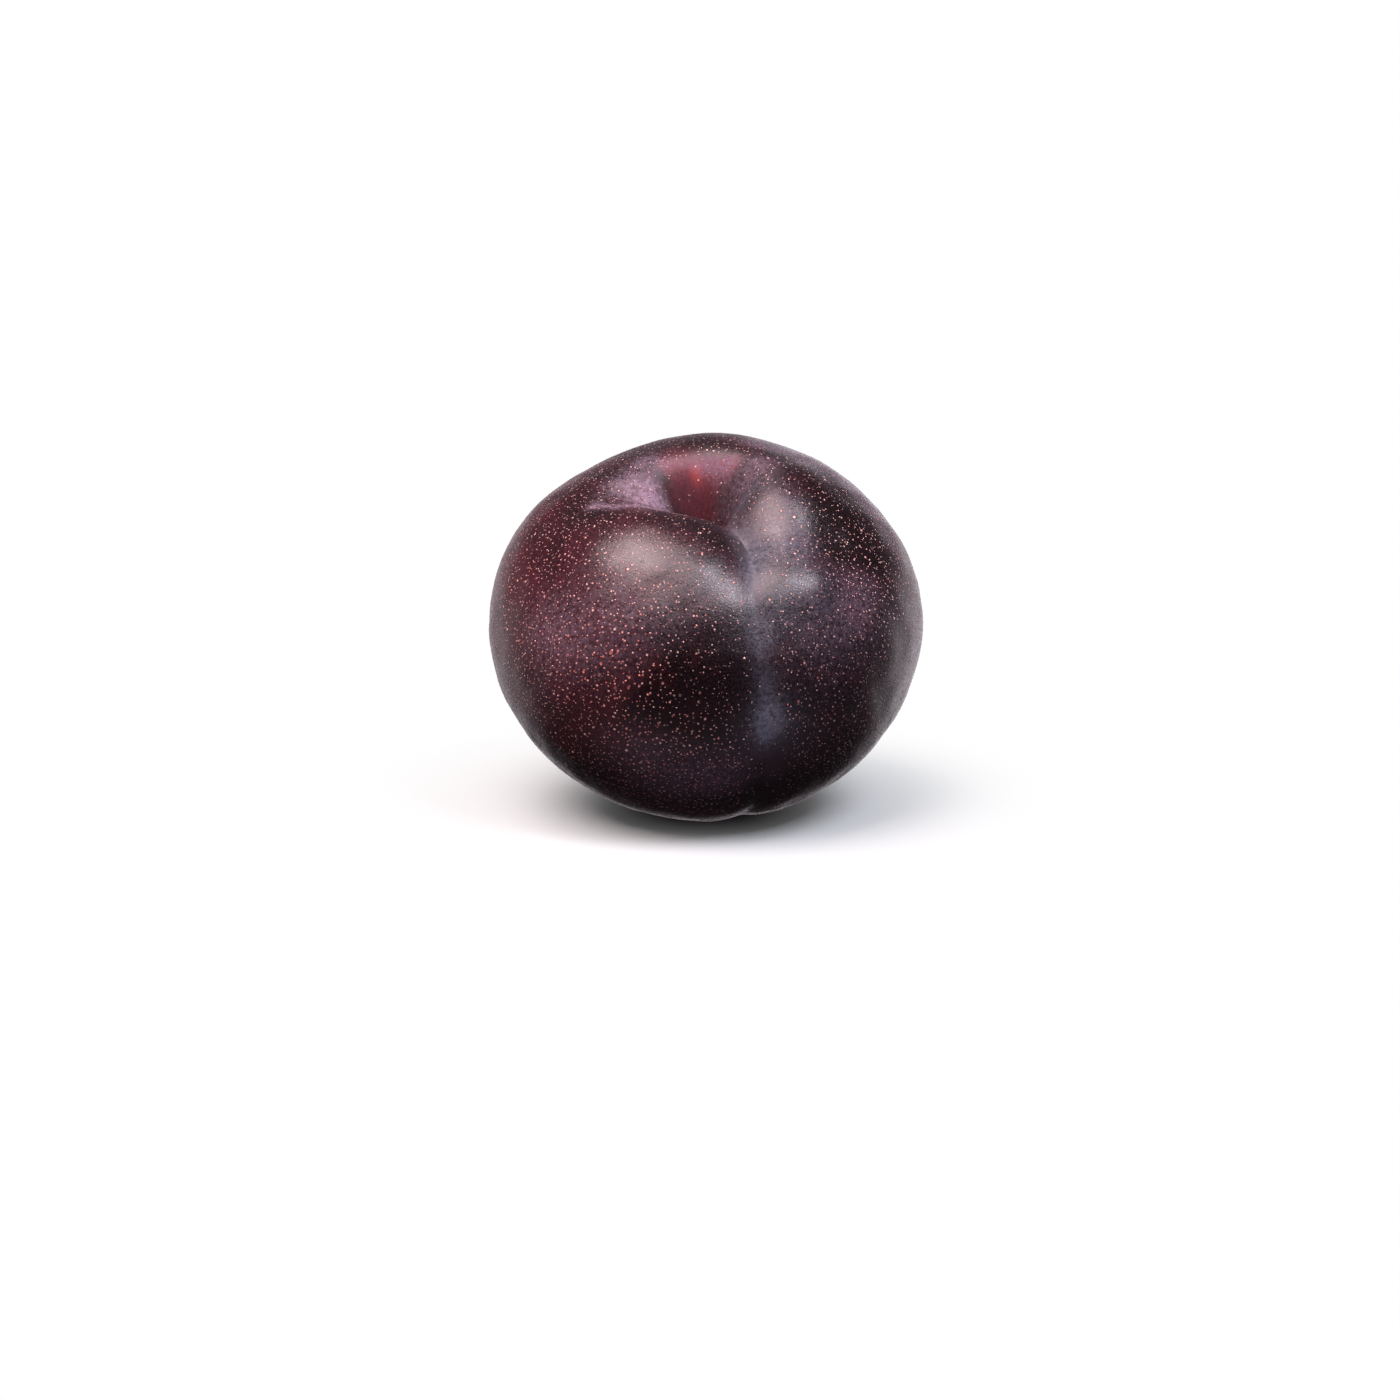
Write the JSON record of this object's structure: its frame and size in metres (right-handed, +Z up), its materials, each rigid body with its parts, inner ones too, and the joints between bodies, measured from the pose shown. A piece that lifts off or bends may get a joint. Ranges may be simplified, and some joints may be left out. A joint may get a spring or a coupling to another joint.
{
  "type": "pluot",
  "caption": "Ripe whole pluot: a dark, speckled stone fruit with a deep stem cavity, a suture down one side and a small flat spot underneath.",
  "frame": {"origin": "on the ground, under the middle of the fruit's bounding box", "axes": "+Z up, away from the flat spot it lies on; the stem end leans 18 degrees from +Z towards -Y, the front; the suture runs down the front, a little towards +X; +X is the fruit's right"},
  "size_m": [0.062, 0.0606, 0.0531],
  "materials": {
    "skin": "satin"
  },
  "bodies": {
    "root": {"pluot": "skin"}
  },
  "joints": []
}
